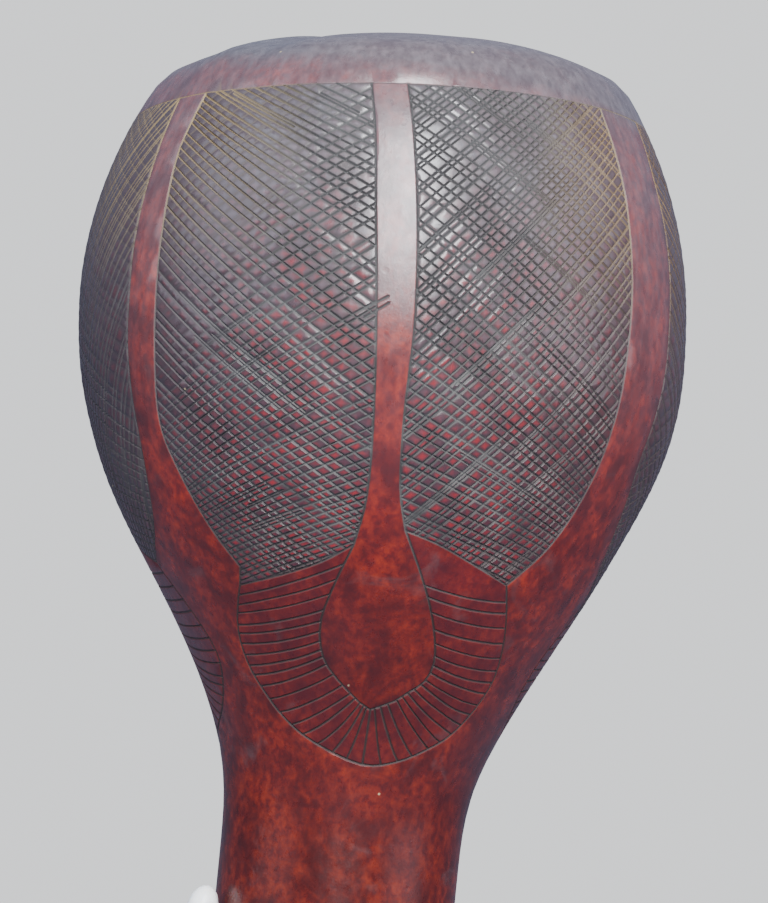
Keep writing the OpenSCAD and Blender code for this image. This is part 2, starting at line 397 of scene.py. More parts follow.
def motif(index):
    """Cut lines of one motif as (points, half width) pairs, faint ones apart, its areas, and
    lines beside the strip's edges that keep the edges' shading off the strip."""
    rng = random.Random(11 + index)
    front = index == 0

    def edge(points):
        curve = smooth_curve(points)
        curve[1:-1, 0] += wander(rng, len(curve) - 2, 0.10)
        return curve

    strips = edge(STRIP_LEFT), edge(STRIP_RIGHT)
    outers = edge(OUTER_LEFT), edge(OUTER_RIGHT)
    feet = edge(FOOT_LEFT), edge(FOOT_RIGHT)
    fringe = edge(FRINGE)
    spade = edge(SPADE_LEFT), edge(SPADE_RIGHT)
    base = smooth_curve(BASE_LEFT)
    left = np.concatenate([strips[0], feet[0][::-1], base[::-1], outers[0][::-1]])
    right = np.concatenate([strips[1], feet[1][::-1], outers[1][::-1]])
    lines, faint = [], []
    for side, sign, bow, knots in HATCH:
        panel, middle = (left, LEFT_MIDDLE) if side == "left" else (right, RIGHT_MIDDLE)
        cuts = faint if (index, side, sign) in FAINT_HATCH else lines
        spacing = 1.0 if front else REAR_SPACING
        steeper = STEEPER.get((index, side, sign), 0)
        for line in hatch_lines(rng, panel, middle, sign, bow, knots, spacing, steeper):
            cuts.append((thin(line, CUT_STEP), GROOVE_HALF * rng.uniform(0.75, 1.15)))
    for line in frill_lines(rng):
        lines.append((line, GROOVE_HALF * rng.uniform(0.75, 1.05)))
    for curve in (*strips, *outers, *feet, *spade, fringe, base):
        lines.append((curve, GROOVE_HALF))
    if front:
        lines.extend((np.array(slip), GROOVE_HALF * 1.2) for slip in SLIPS)
    frill = np.concatenate([fringe, spade[1][::-1], spade[0][::-1]])
    flanks = [strips[0] + [GROOVE_HALF + FLANK, 0], strips[1] - [GROOVE_HALF + FLANK, 0]]
    return lines, faint, [left, right], frill, flanks


def fade(points):
    """Depth of the faint cuts: shallow in the panels' upper outer corners."""
    return np.clip((38 - np.abs(points[:, 0]) - 0.6 * points[:, 1]) / 14, 0.22, 1)


def groove_depth(points, lines):
    """Share of full depth at each chart point: 1 on a line, 0 from its half width outwards."""
    starts = np.concatenate([line[:-1] for line, _ in lines])
    ends = np.concatenate([line[1:] for line, _ in lines])
    halves = np.concatenate([np.full(len(line) - 1, half) for line, half in lines])
    share = np.zeros(len(points))
    order = np.argsort(points[:, 1])
    reach = 2 * GROOVE_HALF
    low = np.minimum(starts[:, 1], ends[:, 1]) - reach
    high = np.maximum(starts[:, 1], ends[:, 1]) + reach
    for chunk in np.array_split(order, max(1, len(order) // 400)):
        p = points[chunk]
        near = (high > p[:, 1].min()) & (low < p[:, 1].max())
        if not near.any():
            continue
        a, b, h = starts[near], ends[near], halves[near]
        run = b - a
        rel = p[:, None] - a
        t = np.clip((rel * run).sum(2) / (run * run).sum(1), 0, 1)
        gap = np.linalg.norm(rel - t[..., None] * run, axis=2)
        share[chunk] = np.clip(1 - gap / h, 0, 1).max(1)
    return share


def cushions(points, faces, flat):
    """Makes each cell between cuts a fan of triangles round a new middle point.

    flat marks the points that lie in a panel and in no cut. Returns the new points, their
    sizes in millimetres, and all the faces."""
    whole = [all(flat[i] for i in face) for face in faces]
    cells = [face for face, keep in zip(faces, whole) if keep]
    rest = [face for face, keep in zip(faces, whole) if not keep]
    owner = {(a, b): number for number, face in enumerate(cells)
             for a, b in zip(face, (*face[1:], face[0]))}
    group = list(range(len(cells)))

    def root(i):
        while group[i] != i:
            group[i] = group[group[i]]
            i = group[i]
        return i

    for (a, b), number in owner.items():
        if (b, a) in owner:
            group[root(number)] = root(owner[b, a])
    borders, members = {}, {}
    for number, face in enumerate(cells):
        members.setdefault(root(number), []).append(face)
    for (a, b), number in owner.items():
        if (b, a) not in owner:
            borders.setdefault(root(number), []).append((a, b))

    middles, sizes = [], []
    for key, cell in members.items():
        a, b, c = (points[[face[k] for face in cell]] for k in range(3))
        area = np.abs(turned(b - a, c - a)) / 2
        middle = ((a + b + c) / 3 * area[:, None]).sum(0) / area.sum()
        starts = points[[edge[0] for edge in borders[key]]]
        ends = points[[edge[1] for edge in borders[key]]]
        hidden = turned(ends - starts, middle - starts).min() < 1e-3
        if area.sum() < SMALLEST_CELL or hidden:
            rest.extend(cell)
            continue
        rest.extend((*edge, len(points) + len(middles)) for edge in borders[key])
        middles.append(middle)
        sizes.append(math.sqrt(area.sum()))
    return np.array(middles), np.array(sizes), rest


def turned(a, b):
    """Cross product of plane vectors."""
    return a[:, 0] * b[:, 1] - a[:, 1] * b[:, 0]


class Chart:
    """Points and edges that go into the triangulation of one sector."""

    def __init__(self):
        self.points = []
        self.edges = []

    def chain(self, points):
        first = len(self.points)
        self.points.extend(map(tuple, points))
        self.edges.extend((first + i, first + i + 1) for i in range(len(points) - 1))

    def groove(self, line, half):
        """Centre line, and round it a closed line at half a groove's width."""
        run = np.gradient(line, axis=0)
        run /= np.linalg.norm(run, axis=1)[:, None]
        side = half * np.stack([-run[:, 1], run[:, 0]], 1)
        tips = line[:1] - half * run[:1], line[-1:] + half * run[-1:]
        self.chain(line)
        self.chain(np.concatenate([tips[0], line + side, tips[1], (line - side)[::-1], tips[0]]))


def edge_heights():
    """Heights of the points down a sector's edge, with the ring groove's three lines."""
    lines = [RING_S + k * RING_HALF for k in (-1, 0, 1)]
    even = np.arange(BAND_LOW, BAND_HIGH + 0.1, (BAND_HIGH - BAND_LOW) / EDGE_ROWS)
    return np.array(sorted([s for s in even if abs(s - RING_S) > CLEAR_OF_EDGE] + lines))


def sector(index):
    """Triangles of one motif's sector: chart points with their angles and heights on the
    gourd, faces, and per point the share of a groove, hatched, in the frill, rise of its cell."""
    middle, left_edge, right_edge, spread = MOTIFS[index]
    lines, faint, panels, frill, flanks = motif(index)
    chart = Chart()
    heights = edge_heights()
    columns = round((right_edge - left_edge) / COLUMN)
    edges = np.radians(np.array([left_edge - middle, right_edge - middle]) / spread)

    def width(s, k):
        """Chart distance from the strip to the sector's left (k = 0) or right (k = 1) edge."""
        return edges[k] * profile(u_at(s))

    def across(s, count):
        return np.stack([np.linspace(width(s, 0), width(s, 1), count + 1),
                         np.full(count + 1, s)], 1)

    left = np.stack([width(heights, 0), heights], 1)
    right = np.stack([width(heights, 1), heights], 1)
    loop = np.concatenate([across(BAND_LOW, columns), right[1:-1],
                           across(BAND_HIGH, columns)[::-1], left[1:-1][::-1]])
    chart.chain(np.concatenate([loop, loop[:1]]))
    for k in (-1, 0, 1):
        chart.chain(across(RING_S + k * RING_HALF, RING_POINTS))
    ring = across(RING_S, 1)
    for line, half in lines + faint:
        chart.groove(line, half)
    for line in flanks:
        chart.chain(line)

    # Even points over the plain parts, clear of every cut
    xs, ss = np.meshgrid(np.arange(GRID_LEFT, GRID_RIGHT, GRID),
                         np.arange(BAND_LOW + 2, BAND_HIGH - 1, GRID))
    grid = np.stack([xs.ravel() + 0.8 * np.sin(ss.ravel()), ss.ravel()], 1)
    grid = grid[(grid[:, 0] > width(grid[:, 1], 0) + CLEAR_OF_EDGE)
                & (grid[:, 0] < width(grid[:, 1], 1) - CLEAR_OF_EDGE)]
    wide = [(line, CLEAR_OF_CUT) for line, _ in lines] + [(ring, CLEAR_OF_RING)]
    hatched = np.any([inside(grid, panel) for panel in panels], axis=0)
    grid = grid[(groove_depth(grid, wide) == 0) & ~hatched]
    chart.points.extend(map(tuple, grid))

    verts, _, faces, *_ = delaunay_2d_cdt(
        [Vector(p) for p in chart.points], chart.edges, [], 1, 1e-5)
    points = np.array([tuple(v) for v in verts])
    share = np.maximum(groove_depth(points, lines), groove_depth(points, faint) * fade(points))
    share = np.maximum(share, groove_depth(points, [(ring, RING_HALF)]) * RING_SHARE)
    hatched = np.any([inside(points, panel) for panel in panels], axis=0).astype(float)
    middles, sizes, faces = cushions(points, faces, (share < FLAT_SHARE) & (hatched > 0))
    rise = np.concatenate([np.zeros(len(points)), np.minimum(sizes / WIDE_CELL, 1)])
    points = np.concatenate([points, middles])
    share = np.concatenate([share, np.zeros(len(middles))])
    hatched = np.concatenate([hatched, np.ones(len(middles))])
    fringed = inside(points, frill).astype(float)
    u = u_at(points[:, 1])
    angle = math.radians(middle) + spread * points[:, 0] / profile(u)
    return points, angle, u, faces, share, hatched, fringed, rise


# ---------------- mesh helpers

def mesh_object(name, verts_mm, faces, material, sharp=None):
    mesh = bpy.data.meshes.new(name)
    mesh.from_pydata((np.asarray(verts_mm) * MM).tolist(), [], faces)
    mesh.materials.append(material)
    mesh.polygons.foreach_set("use_smooth", [True] * len(mesh.polygons))
    mesh.validate()
    mesh.update()
    if sharp is not None:
        mesh.set_sharp_from_angle(angle=math.radians(sharp))
    obj = bpy.data.objects.new(name, mesh)
    bpy.context.scene.collection.objects.link(obj)
    return obj


def grid_faces(rows, columns, flip=False):
    """Quads between successive closed rings of points."""
    faces = []
    for i in range(rows - 1):
        for j in range(columns):
            a = i * columns + j
            b = i * columns + (j + 1) % columns
            face = (a, b, b + columns, a + columns)
            faces.append(face[::-1] if flip else face)
    return faces


def cap_faces(first, columns, tip, flip=False):
    """Triangles from the ring of points that starts at index first to the point at index tip."""
    faces = [(first + j, first + (j + 1) % columns, tip) for j in range(columns)]
    return [face[::-1] for face in faces] if flip else faces


def add_values(obj, name, values):
    layer = obj.data.attributes.new(name, "FLOAT", "POINT")
    layer.data.foreach_set("value", np.asarray(values, np.float32))


# ---------------- gourd mesh

CROWN_ROWS = 25
NECK_ROWS = 44
INNER_ROWS, INNER_CROWN_ROWS = 24, 9
WELD_GAP = 0.004
SHARP_ANGLE = 28


def build_gourd(material):
    """The shell: three engraved sectors, crown, neck with a rounded rim, and inner skin."""
    columns = round(360 / COLUMN)
    phi = np.radians(MOTIFS[0][1] + COLUMN * np.arange(columns))
    verts, faces = [], []
    masks = {"groove": [], "hatch": [], "frill": [], "cell": []}

    def add(points, new_faces, *values):
        first = sum(len(v) for v in verts)
        verts.append(points)
        faces.extend(tuple(first + i for i in face) for face in new_faces)
        for name, value in zip(masks, values or [np.zeros(len(points))] * len(masks)):
            masks[name].append(value)

    def add_rows(rows, flip=False, pole=None):
        """Rings at (arc length, offset inwards), closed with a point at the pole if asked."""
        rings = [surface(phi, u_at(s), offset) for s, offset in rows]
        ring_faces = grid_faces(len(rows), columns, flip=flip)
        if pole is not None:
            rings.append(surface(0.0, CROWN_H, pole)[None])
            last = (len(rows) - 1) * columns
            ring_faces += cap_faces(last, columns, last + columns, flip)
        add(np.concatenate(rings), ring_faces)

    for index in range(len(MOTIFS)):
        points, angle, u, tris, share, hatched, fringed, rise = sector(index)
        uneven = 1 + 0.25 * np.sin(points[:, 0] * 0.31 + points[:, 1] * 0.23 + index)
        depth = GROOVE_DEPTH * share * np.where(hatched > 0, uneven, 0.85) - CELL_RISE * rise
        add(surface(angle, u, depth), tris, share, hatched, fringed, rise > 0)

    # Blossom scar: a shallow ring and a worn nub in the middle of the crown
    to_pole = np.sin(np.linspace(0, math.pi / 2, CROWN_ROWS))[:-1]
    crown_s = S_TOP - (S_TOP - BAND_HIGH) * (1 - to_pole)
    from_axis = profile(u_at(crown_s))
    scar = 0.3 * hump(from_axis, 4.2, 1.9) - 0.3 * hump(from_axis, 0.0, 2.1)
    add_rows(list(zip(crown_s, scar)), pole=-0.3)

    neck_s = np.linspace(S_CUT + 1.0, BAND_LOW, NECK_ROWS)
    rim = [(S_CUT, WALL - 0.6), (S_CUT, 1.8), (S_CUT, 0.5), (S_CUT + 0.15, 0.12), (S_CUT + 0.5, 0)]
    add_rows(rim + [(s, 0) for s in neck_s])

    inner_s = np.concatenate([np.linspace(S_CUT + 0.6, 30, INNER_ROWS),
                              np.linspace(36, S_TOP - 2, INNER_CROWN_ROWS)])
    add_rows([(S_CUT, WALL - 0.6), *((s, WALL) for s in inner_s)], flip=True, pole=WALL)

    obj = mesh_object("gourd", np.concatenate(verts), faces, material)
    for name, values in masks.items():
        add_values(obj, name, np.concatenate(values))
    weld(obj, WELD_GAP)
    obj.data.set_sharp_from_angle(angle=math.radians(SHARP_ANGLE))
    return obj


def weld(obj, distance_mm):
    work = bmesh.new()
    work.from_mesh(obj.data)
    bmesh.ops.remove_doubles(work, verts=work.verts, dist=distance_mm * MM)
    bmesh.ops.dissolve_degenerate(work, edges=work.edges, dist=1e-7)
    work.to_mesh(obj.data)
    work.free()


# ---------------- cords

CORD_R = 1.2
STRANDS = 3
STRAND_OFF = 0.45
LAY_LENGTH = 6.2
CORD_SIDES = 18
WRAP_LOW, WRAP_HIGH = box_mm("cord_wrap")
WRAP_Z = (WRAP_LOW[2] + WRAP_HIGH[2]) / 2
TURNS = 3
TURN_PITCH = 2 * CORD_R + 0.1
TAIL_AT = joint_mm("tail_swing")
LOOP_AT = joint_mm("loop_swing")
EYE_COIL_R = 2.5
END_KNOT_R = 0.62
END_KNOT_CORD_R = 0.85
BEAD_LEAN = 13.0
UP = np.array([0, 0, 1.0])

# Loose cotton at a cut end
FIBRES = 46
FIBRE_LENGTH = 4.2
FIBRE_SPREAD = 0.24
FIBRE_R = 0.13


def around(at):
    """Level unit vectors at a point: away from the gourd's axis, and round it."""
    out = np.array([at[0], at[1], 0]) / math.hypot(at[0], at[1])
    return out, np.array([-out[1], out[0], 0])


def resample(path, step):
    """Even points about a step apart on a path, and how far along it each one is."""
    path = np.asarray(path, float)
    lengths = np.concatenate([[0], np.cumsum(np.linalg.norm(np.diff(path, axis=0), axis=1))])
    count = max(2, round(lengths[-1] / step))
    even = np.linspace(0, lengths[-1], count + 1)
    return np.stack([np.interp(even, lengths, path[:, k]) for k in range(3)], 1), even


def cord_path(points, step=0.5):
    """Even points on the smooth curve through a few given ones."""
    p = with_ends(points)
    t = np.linspace(0, 1, 12, endpoint=False)[:, None]
    curve = [spline(p, i, t) for i in range(1, len(p) - 2)]
    return resample(np.concatenate(curve + [p[-2:-1]]), step)[0]


def tube(path, radii, columns):
    """Rings of points round a path, carried along it without twist."""
    tangents = np.gradient(path, axis=0)
    tangents /= np.linalg.norm(tangents, axis=1)[:, None]
    start = np.cross(tangents[0], [0.31, 0.17, 0.93])
    if np.linalg.norm(start) < 0.3:
        start = np.cross(tangents[0], [0.93, 0.31, 0.17])
    side = start / np.linalg.norm(start)
    sides = [side]
    for tangent in tangents[1:]:
        side = side - tangent * side.dot(tangent)
        side = side / np.linalg.norm(side)
        sides.append(side)
    sides = np.array(sides)
    ups = np.cross(tangents, sides)
    turn = np.linspace(0, 2 * math.pi, columns, endpoint=False)[None, :, None]
    rings = np.cos(turn) * sides[:, None] + np.sin(turn) * ups[:, None]
    return (path[:, None] + radii[..., None] * rings).reshape(-1, 3)


def rope(path, radius, step=0.5):
    """Vertices and faces of a cord of three strands laid round each other."""
    path, along = resample(path, step)
    turn = np.linspace(0, 2 * math.pi, CORD_SIDES, endpoint=False)
    twist = 2 * math.pi * along / LAY_LENGTH
    local = (turn[None] - twist[:, None]) % (2 * math.pi / STRANDS) - math.pi / STRANDS
    strand_r = 1 - STRAND_OFF
    outline = (STRAND_OFF * np.cos(local)
               + np.sqrt(strand_r ** 2 - (STRAND_OFF * np.sin(local)) ** 2))
    slub = 1 + 0.03 * np.sin(along * 1.7) + 0.02 * np.sin(along * 0.61 + 1)
    verts = tube(path, radius * outline * slub[:, None], CORD_SIDES)
    faces = grid_faces(len(path), CORD_SIDES)
    faces += cap_faces(0, CORD_SIDES, len(verts), flip=True)
    faces += cap_faces(len(verts) - CORD_SIDES, CORD_SIDES, len(verts) + 1)
    return np.concatenate([verts, path[:1], path[-1:]]), faces


def fibres(rng, root):
    """Thin curved hairs that fan out downwards from the cut end of a cord."""
    parts = []
    t = np.linspace(0, 1, 6)[:, None]
    faces = grid_faces(6, 4) + [(3, 2, 1, 0), (20, 21, 22, 23)]
    for _ in range(FIBRES):
        lean = np.array([rng.gauss(0, FIBRE_SPREAD) for _ in range(3)])
        curl = np.array([rng.gauss(0, FIBRE_SPREAD * 0.5) for _ in range(3)])
        reach = FIBRE_LENGTH * rng.uniform(0.55, 1.0)
        path = root + 0.35 * lean + reach * (t * (lean - UP) + t ** 2 * curl)
        parts.append((tube(path, FIBRE_R * (1 - 0.6 * t), 4), faces))
    return parts


def joined(name, parts, material):
    verts, faces, first = [], [], 0
    for part_verts, part_faces in parts:
        verts.append(part_verts)
        faces.extend(tuple(first + i for i in face) for face in part_faces)
        first += len(part_verts)
    return mesh_object(name, np.concatenate(verts), faces, material)


def build_wrap(material):
    """Turns of cord round the neck, one on top of the other, not quite level."""
    t = np.linspace(0, TURNS, 700)
    angle = math.atan2(TAIL_AT[1], TAIL_AT[0]) + 2 * math.pi * t
    z = WRAP_Z + (t - TURNS / 2) * TURN_PITCH + 0.12 * np.sin(3 * angle) + 0.08 * np.sin(5 * t)
    radius = profile(z - EQUATOR_Z) + 0.15 + CORD_R
    path = np.stack([radius * np.cos(angle), radius * np.sin(angle), z], 1)
    return joined("wrap", [rope(path, CORD_R)], material)


def build_knot(name, centre, material):
    """Three coils round the eye; both ends dive under the turns on the neck."""
    out, tangent = around(centre)
    t = np.linspace(-1.75, 1.75, 220)
    angle = 2 * math.pi * t
    coils = (centre + tangent * (t * 2 * CORD_R)[:, None] + EYE_COIL_R * (
        out * np.cos(angle)[:, None] + UP * np.sin(angle)[:, None]))
    to_wrap = math.hypot(centre[0], centre[1]) - (profile(WRAP_Z - EQUATOR_Z) + CORD_R)
    dives = [centre - out * (to_wrap + 1.0) + UP * side * 1.5 + tangent * side * 4.6
             for side in (-1, 1)]
    leads = [centre - out * (to_wrap - 1.4) + UP * side * 5.4 + tangent * side * 4.5
             for side in (-1, 1)]
    path = cord_path([dives[0], leads[0], *coils[::6], leads[1], dives[1]])
    return joined(name, [rope(path, CORD_R * 0.98)], material)


def end_knot(centre):
    """A pulled-tight overhand knot below a hanging bead."""
    t = np.linspace(0, 2 * math.pi, 160)
    reach = 2 + np.cos(3 * t)
    path = centre + END_KNOT_R * np.stack([
        reach * np.cos(2 * t), reach * np.sin(2 * t), 1.4 * np.sin(3 * t)], 1)
    return rope(path, END_KNOT_CORD_R, 0.4)


def build_tail(material):
    """One cord hung over the knot's eye: two strands, each with a knot and a frayed end."""
    rng = random.Random(5)
    _, tangent = around(TAIL_AT)
    ends = []
    for bead in ("bead_short", "bead_long"):
        low, high = box_mm(bead)
        middle = (low + high) / 2
        ends.append(np.array([middle[0], middle[1], low[2] - 2.3]))
    short, long = ends
    across = [tangent * float((end - TAIL_AT) @ tangent) for end in ends]

    # Over the eye: which strand, share of its way out from the middle, drop below the eye
    saddle = [(0, 1.0, 3), (0, 0.86, 0.7), (0, 0.5, 0), (0, 0, 0),
              (1, 0.5, 0), (1, 0.86, 0.7), (1, 1.0, 3)]
    path = [short, short + [0, 0, 6], short + [0.1, 0.1, 18]]
    path += [TAIL_AT + across[strand] * share - UP * drop for strand, share, drop in saddle]
    path += [long + [-0.1, 0.1, 30], long + [0.1, 0, 16], long + [0, 0, 6], long]
    parts = [rope(cord_path(path), CORD_R)]
    for end in ends:
        parts.append(end_knot(end))
        parts.append(rope([end - UP, end - UP * 3.4], CORD_R * 0.95))
        parts += fibres(rng, end - UP * 3)
    return joined("tail", parts, material)


def build_hang_loop(material):
    """A long loop from the second knot's eye, narrow at the eye and a little wavy."""
    low, _ = box_mm("hang_loop")
    _, tangent = around(LOOP_AT)
    half = EYE_COIL_R * 2
    bottom = low[2] + CORD_R - LOOP_AT[2]

    # Half widths of the loop, as shares of its widest, and heights below the eye
    down = [(0.0, 0), (0.55, 0), (0.9, -0.8), (1.0, -3.2), (1.03, -18), (0.97, -40), (1.02, -60)]
    turn = [(math.cos(a), bottom + half - half * math.sin(a)) for a in np.linspace(0, math.pi, 9)]
    back = [(-x, z) for x, z in reversed(down)]
    path = [LOOP_AT + tangent * half * x + UP * z for x, z in down + turn + back]
    return joined("hang_loop", [rope(cord_path(path), CORD_R)], material)


def build_upright_tail(material):
    """The cord end that stands up from the knot into the upright bead."""
    low, high = box_mm("bead_up")
    out, _ = around(TAIL_AT)
    middle = (low + high) / 2
    lean = math.radians(BEAD_LEAN)
    axis = UP * math.cos(lean) - out * math.sin(lean)
    path = [TAIL_AT + UP * 1.2, TAIL_AT + out * 0.1 + UP * 3.4]
    path += [middle - axis * below for below in (7.6, 5.0, 1.6)]
    return joined("upright_tail", [rope(cord_path(path), CORD_R * 0.98, 0.4)], material)


# ---------------- beads, seeds, stopper

BEAD_LOW, BEAD_HIGH = box_mm("bead_short")
BEAD_R = (BEAD_HIGH[0] - BEAD_LOW[0]) / 2
BEAD_HALF = (BEAD_HIGH[2] - BEAD_LOW[2]) / 2
BORE_R = 1.45

# Stopper: play between spigot and shell, flange below the shell's end, rounding of its edge,
# radii and size of the scribed rings under it
SPIGOT_GAP = 0.35
FLANGE_GAP = 0.1
FLANGE_ROUND = 1.5
SCRIBED_AT = (7.0, 13.2)
SCRIBED_HALF = 0.45
SCRIBED_DEPTH = 0.32


def lathe(profile_points, columns, uneven=None):
    """Rings round +Z from (radius, height) pairs; a radius of 0 closes the shape at that end,
    and a profile that ends where it starts makes a ring."""
    angle = np.linspace(0, 2 * math.pi, columns, endpoint=False)
    rows = [p for p in profile_points if p[0] > 0]
    rings = []
    for radius, height in rows:
        size = radius * (uneven(angle, height) if uneven else 1.0)
        rings.append(np.stack([size * np.cos(angle), size * np.sin(angle),
                               np.full(columns, height)], 1))
    faces = grid_faces(len(rows), columns)
    verts = np.concatenate(rings)
    last = (len(rows) - 1) * columns
    if profile_points[0][0] == 0:
        faces += cap_faces(0, columns, len(verts), flip=True)
        verts = np.concatenate([verts, [(0, 0, profile_points[0][1])]])
    if profile_points[-1][0] == 0:
        faces += cap_faces(last, columns, len(verts))
        verts = np.concatenate([verts, [(0, 0, profile_points[-1][1])]])
    if profile_points[0] == profile_points[-1]:
        faces = [tuple(i % last for i in face) for face in faces]
        verts = verts[:last]
    return verts, faces


def bead_mesh(seed, open_top):
    """Oval bead with a rounded mouth to its bore; hand made, so not quite even."""
    rng = random.Random(seed)
    a, b = rng.uniform(0, 6.3), rng.uniform(0, 6.3)

    def uneven(angle, height):
        return 1 + 0.012 * np.cos(2 * angle + a) + 0.008 * np.cos(3 * angle + b + height)

    reach = math.pi / 2 - math.asin(BORE_R / BEAD_R)
    outer = [(BEAD_R * math.cos(t), BEAD_HALF * math.sin(t))
             for t in np.linspace(-reach, reach if open_top else math.pi / 2 - 0.09, 30)]
    lip = BEAD_HALF * math.sin(reach) - 0.35
    bore = BORE_R * 0.98
    if open_top:
        ring = outer + [(bore, height) for height in np.linspace(lip, -lip, 8)] + [outer[0]]
    else:
        ring = [(0, -1.0), (BORE_R * 0.6, -1.0), (BORE_R * 0.95, -1.3), (bore, -lip)]
        ring += outer + [(0, BEAD_HALF)]
    return lathe(ring, 48, uneven)


def build_bead(name, node, seed, lean, open_top, material):
    low, high = box_mm(node)
    verts, faces = bead_mesh(seed, open_top)
    if lean:
        out = math.atan2(TAIL_AT[1], TAIL_AT[0])
        turn = Matrix.Rotation(out, 3, "Z") @ Matrix.Rotation(-math.radians(lean), 3, "Y")
        verts = verts @ np.array(turn).T
    return mesh_object(name, verts + (low + high) / 2, faces, material, sharp=50)


def build_seed(number, node, material):
    """An irregular oval seed with a blunt end, a pointed end and a seam round it."""
    rng = random.Random(100 + number)
    low, high = box_mm(node)
    long_r = (high[2] - low[2]) / 2
    work = bmesh.new()
    bmesh.ops.create_icosphere(work, subdivisions=3, radius=1.0)
    work.verts.ensure_lookup_table()
    ball = np.array([v.co[:] for v in work.verts])
    faces = [tuple(v.index for v in face.verts) for face in work.faces]
    work.free()
    phases = [rng.uniform(0, 6.3) for _ in range(6)]
    size = np.array([long_r, long_r * rng.uniform(0.74, 0.86), long_r * rng.uniform(0.58, 0.7)])
    lumps = sum(0.035 / (1 + 0.4 * k) * np.sin((2 + k) * ball[:, k % 3] * 2 + phases[k])
                for k in range(6))
    point = 1 - 0.22 * smooth01(ball[:, 0])
    seam = 1 + 0.05 * hump(ball[:, 2], 0.0, 0.12)
    verts = ball * size * (1 + lumps)[:, None]
    verts[:, 1:] *= (point * seam)[:, None]
    spin, tip = rng.uniform(0, 6.3), rng.uniform(-0.5, 0.5)
    turn = Matrix.Rotation(spin, 3, "Z") @ Matrix.Rotation(tip, 3, "X")
    verts = verts @ np.array(turn).T + (low + high) / 2
    verts[:, 2] = np.maximum(verts[:, 2], low[2])
    return mesh_object(f"seed_{number:02d}_look", verts, faces, material)


def build_plug(material):
    """Turned stopper: rounded flange with scribed rings under it, spigot with a chamfer."""
    top = PLUG_HIGH[2]
    spigot = END_R - WALL - SPIGOT_GAP
    flange = CUT_Z - FLANGE_GAP
    under = [(0, 0.9), (0.5, 0.75), (1.3, 0.25), (1.9, 0.02)]
    for ring in SCRIBED_AT:
        under += [(ring - SCRIBED_HALF, 0.0), (ring, SCRIBED_DEPTH), (ring + SCRIBED_HALF, 0.0)]
    edge = [(END_R - FLANGE_ROUND * (1 - math.cos(a)), FLANGE_ROUND * (1 + math.sin(a)))
            for a in np.linspace(-math.pi / 2, 0, 8)]
    rest = [(END_R, flange - 0.5), (END_R - 0.15, flange - 0.12), (END_R - 0.5, flange),
            (spigot + 0.1, flange), (spigot, flange + 0.2), (spigot, 9.0), (spigot, top - 1),
            (spigot - 0.3, top - 0.4), (spigot - 1, top), (spigot / 2, top), (0, top)]
    verts, faces = lathe(under + edge + rest, 96)
    return mesh_object("stopper", verts, faces, material, sharp=35)


# ---------------- materials

def linear(code):
    """Linear colour from a hex string."""
    parts = [int(code[i:i + 2], 16) / 255 for i in (1, 3, 5)]
    return tuple(c / 12.92 if c < 0.04045 else ((c + 0.055) / 1.055) ** 2.4 for c in parts) + (1.0,)


